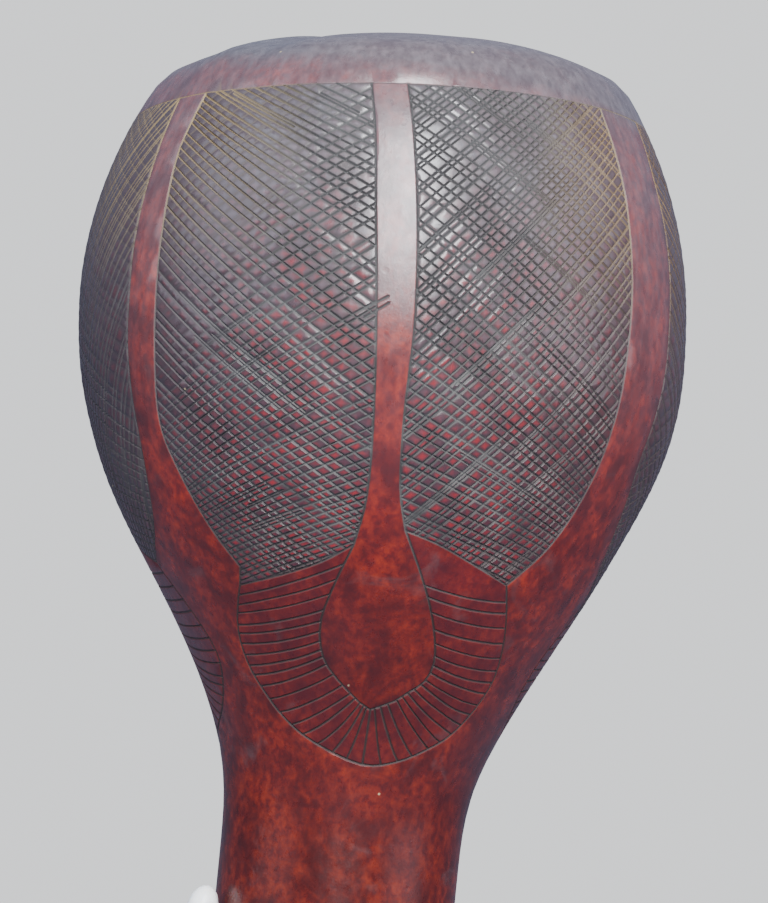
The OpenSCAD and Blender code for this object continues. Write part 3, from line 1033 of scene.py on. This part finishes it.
class Shade:
    """A small builder for the nodes of a material or world; its methods return output sockets."""

    def __init__(self, block):
        block.use_nodes = True
        self.block = block
        self.tree = block.node_tree
        self.tree.nodes.clear()
        self.coordinates = self.add("ShaderNodeTexCoord").outputs
        self.object = self.coordinates["Object"]

    def add(self, kind, inputs=(), **settings):
        node = self.tree.nodes.new(kind)
        for key, value in settings.items():
            setattr(node, key, value)
        for key, value in dict(inputs).items():
            if isinstance(value, bpy.types.NodeSocket):
                self.tree.links.new(value, node.inputs[key])
            else:
                node.inputs[key].default_value = linear(value) if isinstance(value, str) else value
        return node

    def stretch(self, x, y, z):
        """Object coordinates scaled per axis."""
        node = self.add("ShaderNodeMapping", {"Vector": self.object, "Scale": (x, y, z)})
        return node.outputs["Vector"]

    def noise(self, size_mm, detail=3.0, roughness=0.55, distortion=0.0, vector=None):
        node = self.add("ShaderNodeTexNoise", {
            "Vector": vector or self.object, "Scale": 1000 / size_mm, "Detail": detail,
            "Roughness": roughness, "Distortion": distortion})
        return node.outputs["Fac"]

    def spots(self, size_mm):
        """Distance to the nearest of many scattered points."""
        node = self.add("ShaderNodeTexVoronoi", {"Vector": self.object, "Scale": 1000 / size_mm})
        return node.outputs["Distance"]

    def value(self, name):
        return self.add("ShaderNodeAttribute", attribute_name=name).outputs["Fac"]

    def split(self, vector):
        return self.add("ShaderNodeSeparateXYZ", {"Vector": vector}).outputs

    def span(self, value, low, high, start=0.0, end=1.0):
        """start below low, end above high, and even change between them."""
        node = self.add("ShaderNodeMapRange", {
            "Value": value, "From Min": low, "From Max": high, "To Min": start, "To Max": end},
            clamp=True)
        return node.outputs["Result"]

    def math(self, operation, a, b=0.0, clamp=False):
        node = self.add("ShaderNodeMath", {0: a, 1: b}, operation=operation, use_clamp=clamp)
        return node.outputs["Value"]

    def both(self, a, b):
        return self.math("MULTIPLY", a, b)

    def mix(self, share, a, b, blend="MIX"):
        node = self.add("ShaderNodeMixRGB", {"Fac": share, "Color1": a, "Color2": b},
                        blend_type=blend)
        return node.outputs["Color"]

    def tint(self, share, colour, *factors):
        """The colour times three factors, as far as share says."""
        return self.mix(share, colour, (*factors, 1.0), "MULTIPLY")

    def bump(self, height, distance_mm, strength=1.0, normal=None):
        inputs = {"Height": height, "Distance": distance_mm * MM, "Strength": strength}
        if normal is not None:
            inputs["Normal"] = normal
        return self.add("ShaderNodeBump", inputs).outputs["Normal"]

    def chosen(self, share, first, second):
        """first where share is 0, second where it is 1."""
        node = self.add("ShaderNodeMixShader", {0: share, 1: first, 2: second})
        return node.outputs["Shader"]

    def finish(self, shader, kind="Material"):
        out = self.add(f"ShaderNodeOutput{kind}")
        self.tree.links.new(shader, out.inputs["Surface"])
        return self.block

    def principled(self, colour, rough, normal=None, **extra):
        inputs = {"Base Color": colour, "Roughness": rough}
        if normal is not None:
            inputs["Normal"] = normal
        inputs.update({key.replace("_", " "): value for key, value in extra.items()})
        return self.add("ShaderNodeBsdfPrincipled", inputs).outputs["BSDF"]


def new_material(name):
    return Shade(bpy.data.materials.new(name))


# Heights in metres between which the rind's looks change; "down" changes grow downwards
# Painted light: the rind's red grows lighter up the head, as if lit from above
LIT_FROM_ABOVE_HEAD = (0.168, 0.210)
DARKER_NECK_DOWN = (0.165, 0.125)
# Partly painted sheen: the plain rind greys towards the top, where the highlight lies
WORN_AND_SHEEN_STRIPS = (0.196, 0.266)
WORN_CROWN = (0.269, 0.281)
# Painted reflection: a blue cast on the crown's left side
BLUE_REFLECTION_CROWN = (0.262, 0.276)
# Partly painted sheen: the hatch cells and their edges turn greyer and paler towards the top
FADED_AND_SHEEN_CELLS = (0.197, 0.262)
GREY_AND_SHEEN_CELLS = (0.225, 0.262)
PALE_AND_SHEEN_EDGES = (0.215, 0.265)
DUSTY = (0.235, 0.272)
DARK_CUTS_DOWN = (0.200, 0.180)
# Painted shade: the cuts darken high in the middle, beside the highlight
SHADED_CUTS_HIGH = (0.215, 0.250)
DARK_PANEL = (0.188, 0.215)
GLOSSY_HEAD = (0.190, 0.262)

# The same for places across the head, from its middle or towards one side
RIGHT_SIDE = (0.006, 0.030)
LEFT_SIDE = (-0.014, -0.036)
# Painted shade: the cells darken towards the head's sides
SHADED_SIDE_CELLS = (0.022, 0.044)
DUST_SIDE = (0.020, 0.045)
# Painted shade: the dark cuts stay near the middle of the head
SHADED_CUTS_MIDDLE = (0.036, 0.012)
BROWN_CUTS = (0.026, 0.044)


def stained_rind(m, z, flecks, clouds, patches, frill):
    """Deep red with soft orange mottling and dark clouds."""
    red = m.mix(m.span(clouds, 0.34, 0.66), "#44110f", "#651811")
    light = m.both(m.span(flecks, 0.42, 0.68), m.span(clouds, 0.38, 0.64))
    red = m.mix(m.both(light, 0.7), red, "#8c2d14")
    red = m.mix(m.span(flecks, 0.46, 0.34, 0.0, 0.4), red, "#350f11")
    red = m.mix(m.span(patches, 0.54, 0.32, 0.0, 0.5), red, "#41191c")
    red = m.mix(m.both(frill, 0.45), red, "#431016")
    # Painted light from above: the red is lighter up the head
    red = m.tint(m.span(z, *LIT_FROM_ABOVE_HEAD), red, 1.55, 1.45, 1.5)
    red = m.tint(m.span(z, *DARKER_NECK_DOWN), red, 0.80, 0.92, 0.92)
    scuffs = m.span(m.noise(13.0, 4.0, 0.6, 1.2), 0.61, 0.76, 0.0, 0.38)
    return m.mix(scuffs, red, "#5b4746")


def gourd_material():
    m = new_material("gourd_rind_look")
    places = m.split(m.object)
    x, z = places["X"], places["Z"]
    right = m.span(x, *RIGHT_SIDE)
    left = m.span(x, *LEFT_SIDE)
    from_middle = m.math("ABSOLUTE", x)
    groove, hatch = m.value("groove"), m.value("hatch")
    along = m.stretch(1.0, 1.0, 0.8)
    flecks = m.noise(1.3, 4.0, 0.62, 0.2, along)
    clouds = m.noise(5.2, 4.0, 0.60, 0.3, along)
    patches = m.noise(34.0, 2.0, 0.5, 0.2)
    red = stained_rind(m, z, flecks, clouds, patches, m.value("frill"))

    # Handling has worn the crown to a dull grey; the strips' upper ends and the plain rind high on
    # the head turn grey partly from wear and partly as painted sheen
    streaks = m.noise(1.6, 3.0, 0.6, 0.2, m.stretch(1.0, 1.0, 0.3))
    grey = m.mix(m.span(streaks, 0.34, 0.66), "#504b4e", "#676164")
    grey = m.mix(m.span(clouds, 0.50, 0.32, 0.0, 0.3), grey, "#4a3a40")
    # Partly wear, partly painted sheen: grey on the plain rind high on the head
    worn_and_sheen_strips = m.span(z, *WORN_AND_SHEEN_STRIPS, 0.0, 0.60)
    worn_crown = m.both(m.span(z, *WORN_CROWN), m.span(patches, 0.36, 0.56, 0.90, 0.97))
    # Painted reflection: the grey on the crown's left side is tinted blue
    grey = m.tint(m.both(left, m.span(z, *BLUE_REFLECTION_CROWN)), grey, 0.84, 0.95, 1.0)
    plain = m.mix(m.math("MAXIMUM", worn_and_sheen_strips, worn_crown), red, grey)

    # Cells of the hatching: stained in the middle, greyer and paler higher up, partly from wear and
    # partly as painted sheen, darker at their edges
    tone = m.noise(2.6, 2.0, 0.5, 0.1)
    maroon = m.mix(m.span(tone, 0.40, 0.60), "#4b242b", "#842326")
    # Partly wear, partly painted sheen: more grey cells higher up
    faded_and_sheen = m.both(m.span(z, *FADED_AND_SHEEN_CELLS), m.span(tone, 0.66, 0.46, 0.45, 1.0))
    faded_and_sheen = m.math("MAXIMUM", faded_and_sheen, m.span(z, *GREY_AND_SHEEN_CELLS, 0.0, 0.94))
    edges = m.mix(m.span(z, *PALE_AND_SHEEN_EDGES), "#3a2f30", "#4f4846")
    inwards = m.span(m.value("cell"), 0.0, 0.7, 0.15, 1.0)
    cells = m.mix(inwards, edges, m.mix(faded_and_sheen, maroon, grey))
    # Painted shade: cells darker towards the head's sides, away from the light
    cells = m.mix(m.span(from_middle, *SHADED_SIDE_CELLS, 0.0, 0.72), cells, "#3f3233")
    dust = m.both(m.span(z, *DUSTY), m.span(from_middle, *DUST_SIDE))
    cells = m.mix(m.both(dust, 0.5), cells, "#493b38")
    colour = m.mix(hatch, plain, cells)

    # Dirt in the cuts, lighter in the panels, with pale dust near the head's sides; painted shade
    # makes the cuts near black in the upper middle, beside the highlight
    dirt = m.mix(m.span(m.noise(9.0, 2.0), 0.38, 0.62), "#373735", "#565652")
    dirt = m.mix(m.span(z, *DARK_CUTS_DOWN), dirt, "#302825")
    # Painted shade: near-black cuts in the upper middle, where the cells catch the highlight
    shaded_cuts = m.both(m.span(z, *SHADED_CUTS_HIGH), m.span(from_middle, *SHADED_CUTS_MIDDLE))
    dirt = m.mix(m.both(shaded_cuts, 0.8), dirt, "#242322")
    dirt = m.mix(m.span(from_middle, *BROWN_CUTS, 0.0, 0.6), dirt, "#483f3b")
    dirt = m.mix(dust, dirt, "#8c7647")
    colour = m.mix(m.span(groove, 0.05, 0.6, 0.0, 0.94), colour, dirt)

    # The right panel is browner than the left one, whose outer half is darker
    colour = m.tint(m.both(hatch, right), colour, 0.98, 0.83, 0.81)
    dark_side = m.both(left, m.span(z, *DARK_PANEL))
    colour = m.tint(m.both(hatch, dark_side), colour, 0.84, 0.82, 0.88)

    # A few pale flecks of old finish
    specks = m.span(m.spots(13.0), 0.024, 0.012)
    colour = m.mix(m.both(specks, 0.7), colour, "#b9a67f")

    polish = m.span(m.noise(2.2, 4.0, 0.62, 0.2, along), 0.3, 0.7, 0.25, 0.36)
    rough = m.math("ADD", polish, m.span(groove, 0.0, 0.3, 0.0, 0.38), clamp=True)
    grain = m.bump(m.noise(0.8, 4.0, 0.65, 0.2, along), 0.05, 0.55)
    pits = m.bump(m.span(m.spots(3.2), 0.10, 0.22), 0.04, 0.3, grain)
    waves = m.bump(m.noise(5.5, 2.0, 0.5, 0.2, along), 0.10, 0.5, pits)
    sheen = m.span(z, *GLOSSY_HEAD, 0.36, 0.72)
    return m.finish(m.principled(colour, rough, waves, Specular_IOR_Level=sheen))


def cord_material():
    m = new_material("cotton_cord_look")
    fibre = m.noise(0.35, 4.0, 0.7, 1.2)
    soil = m.noise(6.0, 3.0, 0.6, 0.3)
    colour = m.mix(m.span(fibre, 0.3, 0.7), "#b9ad92", "#e4dcc8")
    colour = m.mix(m.span(soil, 0.48, 0.72, 0.0, 0.55), colour, "#8d7a5c")
    rough = m.span(fibre, 0.3, 0.7, 0.8, 0.96)
    normal = m.bump(fibre, 0.12, 0.8)
    return m.finish(m.principled(colour, rough, normal, Sheen_Weight=0.35, Sheen_Roughness=0.6))


def bead_material():
    m = new_material("white_bead_look")
    cloud = m.noise(3.0, 3.0, 0.5, 0.6)
    stain = m.noise(1.4, 4.0, 0.65, 0.4)
    colour = m.mix(m.span(cloud, 0.35, 0.65), "#f6f4ee", "#fefdfa")
    colour = m.mix(m.span(stain, 0.62, 0.80, 0.0, 0.4), colour, "#d3c8ab")
    rough = m.span(stain, 0.3, 0.75, 0.22, 0.46)
    pits = m.bump(m.span(m.spots(1.1), 0.10, 0.2), 0.03, 0.4)
    normal = m.bump(m.noise(1.8, 2.0), 0.05, 0.5, pits)
    return m.finish(m.principled(colour, rough, normal, Subsurface_Weight=0.12,
                                 Subsurface_Radius=(0.003, 0.0025, 0.002), Subsurface_Scale=0.6))


def wood_material():
    m = new_material("plug_wood_look")
    vector = m.stretch(1.0, 0.16, 1.0)
    bands = m.add("ShaderNodeTexWave", {
        "Vector": vector, "Scale": 260.0, "Distortion": 5.0, "Detail": 3.0, "Detail Scale": 1.4},
        bands_direction="X").outputs["Fac"]
    streak = m.noise(0.8, 4.0, 0.6, 0.3, vector)
    colour = m.mix(m.span(bands, 0.2, 0.9), "#6d4526", "#94673c")
    colour = m.mix(m.span(streak, 0.42, 0.30, 0.0, 0.6), colour, "#3c2413")
    colour = m.mix(m.span(m.noise(14.0), 0.45, 0.68, 0.0, 0.6), colour, "#352419")
    rough = m.span(streak, 0.3, 0.7, 0.46, 0.66)
    return m.finish(m.principled(colour, rough, m.bump(streak, 0.09, 0.6)))


def seed_material():
    m = new_material("dry_seed_look")
    coat = m.noise(1.1, 4.0, 0.6, 0.5)
    colour = m.mix(m.span(coat, 0.35, 0.65), "#2e2016", "#6a4a2c")
    colour = m.mix(m.span(m.noise(4.5), 0.55, 0.7, 0.0, 0.5), colour, "#8c6d47")
    rough = m.span(coat, 0.3, 0.7, 0.45, 0.68)
    return m.finish(m.principled(colour, rough, m.bump(m.noise(0.5, 3.0, 0.6), 0.08, 0.6)))


# ---------------- floor, light and camera

BACKDROP = (1.15, 1.17, 1.2, 1.0)
FILL_COLOUR = (0.56, 0.67, 1.0, 1.0)
FILL_LOW, FILL_HIGH = 0.15, 0.50
FLOOR_BOUNCE = (0.20, 0.22, 0.30, 1.0)
FLOOR_SOLID_R, FLOOR_CLEAR_R = 0.35, 0.95
HEAD_CENTRE = Vector((-0.0046, 0.0, EQUATOR_Z * MM))
COOL = (0.78, 0.87, 1.0)

# Azimuth from the front towards +X and elevation in degrees, distance, width and height in
# metres, watts, colour, and whether the light shows in highlights
LIGHTS = {
    "window": (4.5, 29, 1.3, 0.44, 1.0, 46.0, (0.95, 0.97, 1.0), True),
    "room_left": (-62, 18, 1.8, 1.3, 1.6, 18.0, COOL, True),
    "room_right": (66, 18, 1.8, 1.3, 1.6, 18.0, COOL, True),
    "rear": (180, 25, 1.8, 1.6, 1.2, 30.0, (1.0, 0.98, 0.95), False)}

# The camera stands in front of the head, a little below its middle, looks up and is rolled
CAMERA_AT = (0.005424, -0.645645, 0.159155)
CAMERA_RIGHT = (0.9923, 0.0, 0.1236)
CAMERA_FORWARD = (-0.01019, 0.99659, 0.08183)
CAMERA_SEES = 15.68
SENSOR_MM = 36.0


def build_floor():
    """Pale floor that fades out round the object and bounces little light on to it."""
    m = new_material("floor_look")
    grain = m.noise(30.0, 2.0)
    pale = m.mix(m.span(grain, 0.3, 0.7), (0.66, 0.66, 0.665, 1), (0.69, 0.69, 0.695, 1))
    to_camera = m.add("ShaderNodeLightPath").outputs["Is Camera Ray"]
    solid = m.principled(m.mix(to_camera, FLOOR_BOUNCE, pale), 0.85)
    clear = m.add("ShaderNodeBsdfTransparent").outputs["BSDF"]
    places = m.split(m.object)
    x, y = places["X"], places["Y"]
    reach = m.math("SQRT", m.math("ADD", m.both(x, x), m.both(y, y)))
    near = m.span(reach, FLOOR_SOLID_R, FLOOR_CLEAR_R, 1.0, 0.0)
    m.finish(m.chosen(near, clear, solid))
    radii = [0.12, 0.35, 0.65, 1.0]
    verts, faces = lathe([(0, 0.0)] + [(r / MM, 0.0) for r in radii], 72)
    mesh_object("floor", verts, [face[::-1] for face in faces], m.block)


def build_world():
    """Pale backdrop for the camera, a dimmer fill from above for everything it lights."""
    world = bpy.data.worlds.new("studio")
    bpy.context.scene.world = world
    m = Shade(world)
    up = m.split(m.coordinates["Generated"])["Z"]
    strength = m.span(up, -0.5, 0.5, FILL_LOW, FILL_HIGH)
    fill = m.add("ShaderNodeBackground", {"Color": FILL_COLOUR, "Strength": strength})
    seen = m.add("ShaderNodeBackground", {"Color": BACKDROP})
    to_camera = m.add("ShaderNodeLightPath").outputs["Is Camera Ray"]
    shader = m.chosen(to_camera, fill.outputs["Background"], seen.outputs["Background"])
    m.finish(shader, "World")


def area_light(name, azimuth, elevation, distance, width, height, watts, colour, mirrored):
    """A soft box that faces the head; it isn't in the picture itself."""
    side, rise = math.radians(azimuth), math.radians(elevation)
    level = math.cos(rise)
    away = Vector((math.sin(side) * level, -math.cos(side) * level, math.sin(rise)))
    data = bpy.data.lights.new(name, "AREA")
    data.shape = "RECTANGLE"
    data.size, data.size_y = width, height
    data.energy = watts
    data.color = colour
    light = bpy.data.objects.new(name, data)
    light.location = HEAD_CENTRE + away * distance
    light.rotation_euler = (-away).to_track_quat("-Z", "Y").to_euler()
    light.visible_camera = False
    light.visible_glossy = mirrored
    bpy.context.scene.collection.objects.link(light)


def build_camera():
    right = Vector(CAMERA_RIGHT).normalized()
    forward = Vector(CAMERA_FORWARD).normalized()
    up = right.cross(forward).normalized()
    data = bpy.data.cameras.new("camera")
    data.sensor_fit = "VERTICAL"
    data.sensor_height = SENSOR_MM
    data.lens = SENSOR_MM / 2 / math.tan(math.radians(CAMERA_SEES / 2))
    data.clip_start = 0.01
    camera = bpy.data.objects.new("camera", data)
    axes = Matrix((right, up, -forward)).transposed().to_4x4()
    camera.matrix_world = Matrix.Translation(CAMERA_AT) @ axes
    bpy.context.scene.collection.objects.link(camera)
    bpy.context.scene.camera = camera


# ---------------- assembly

# Piece, node, body, seed of its uneven shape, lean in degrees
BEADS = [("upright_bead", "bead_up", "rattle", 12, BEAD_LEAN),
         ("short_bead", "bead_short", "bead_short", 10, 0),
         ("long_bead", "bead_long", "bead_long", 9, 0)]
SEEDS = 19


def place(piece, body, slot, node):
    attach(piece, body)
    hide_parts(node)


def main():
    rind, cord, white = gourd_material(), cord_material(), bead_material()
    wood, husk = wood_material(), seed_material()
    place(build_gourd(rind), "rattle", "gourd_rind", "gourd_shell")
    place(build_plug(wood), "rattle", "plug_wood", "end_plug")
    place(build_wrap(cord), "rattle", "cotton_cord", "cord_wrap")
    place(build_knot("bead_knot", TAIL_AT, cord), "rattle", "cotton_cord", "cord_knot")
    place(build_knot("hanger_knot", LOOP_AT, cord), "rattle", "cotton_cord", "loop_knot")
    place(build_upright_tail(cord), "rattle", "cotton_cord", "tail_up")
    place(build_tail(cord), "tail", "cotton_cord", "tail_down")
    place(build_hang_loop(cord), "loop", "cotton_cord", "hang_loop")
    for name, node, body, seed, lean in BEADS:
        place(build_bead(name, node, seed, lean, lean == 0, white), body, "white_bead", node)
    for number in range(1, SEEDS + 1):
        node = f"seed_{number:02d}"
        place(build_seed(number, node, husk), node, "dry_seed", node)
    build_floor()
    build_world()
    for name, settings in LIGHTS.items():
        area_light(name, *settings)
    build_camera()


main()
